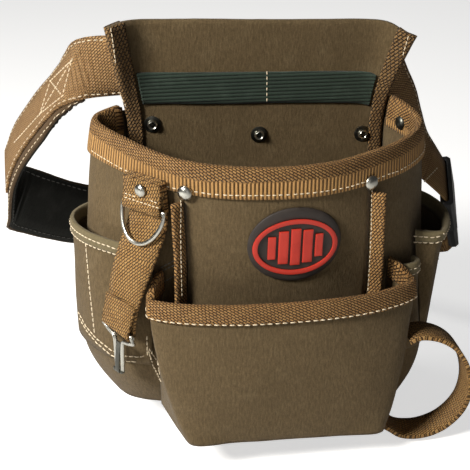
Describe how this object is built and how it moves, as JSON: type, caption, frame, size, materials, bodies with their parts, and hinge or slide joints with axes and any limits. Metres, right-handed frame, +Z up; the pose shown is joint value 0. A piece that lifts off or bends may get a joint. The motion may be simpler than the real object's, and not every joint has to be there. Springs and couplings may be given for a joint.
{
  "type": "carpenter nail apron",
  "caption": "Canvas tool pouch on a buckled waist belt, with a deep main pouch, bellows front pocket, side pockets, D-ring strap and hammer loop.",
  "frame": {"origin": "middle of the belt behind the back panel, on the face that lies against the wearer", "axes": "+Z up as worn, -Y out of the front pocket away from the wearer, +X along the belt to the right in the picture"},
  "size_m": [0.4441, 0.3033, 0.3399],
  "materials": {
    "canvas": "heavy brushed canvas",
    "canvas_dark": "heavy canvas, shaded",
    "webbing": "coarse woven webbing",
    "tape": "woven hem tape",
    "elastic": "ribbed woven elastic",
    "lining": "plain woven lining",
    "nickel": "bright nickel",
    "gunmetal": "dark plated",
    "rubber_red": "moulded rubber",
    "plastic": "moulded"
  },
  "bodies": {
    "root": {"back_panel": "canvas", "gusset_left": "canvas", "front_panel": "canvas", "gusset_right": "canvas", "pouch_bottom": "canvas_dark", "rim_webbing": "webbing", "wing_tape_left": "webbing", "wing_tape_right": "webbing", "elastic_strip": "elastic", "back_rivet_left": "gunmetal", "back_rivet_centre": "gunmetal", "back_rivet_right": "gunmetal", "rim_rivet_left": "nickel", "rim_rivet_right": "nickel", "rim_end_rivet": "nickel", "seam_fin_left": "webbing", "seam_fin_right": "webbing", "badge_patch": "rubber_red", "front_pocket": "canvas", "front_pocket_tape": "webbing", "front_pocket_bottom": "canvas_dark", "side_pocket_left": "canvas", "side_pocket_left_hem": "tape", "side_pocket_right_rear": "canvas", "side_pocket_right_rear_hem": "tape", "side_pocket_right_front": "canvas", "side_pocket_right_front_hem": "tape", "hanging_strap": "webbing", "ring_keeper": "webbing", "keeper_rivet": "nickel", "d_ring": "nickel", "clip_frame": "nickel", "clip_tongue": "gunmetal", "hammer_loop": "webbing", "belt_webbing": "webbing", "belt_cover": "canvas", "belt_lining": "lining", "belt_tail": "webbing", "buckle_socket": "plastic", "buckle_prongs": "plastic"}
  },
  "joints": []
}
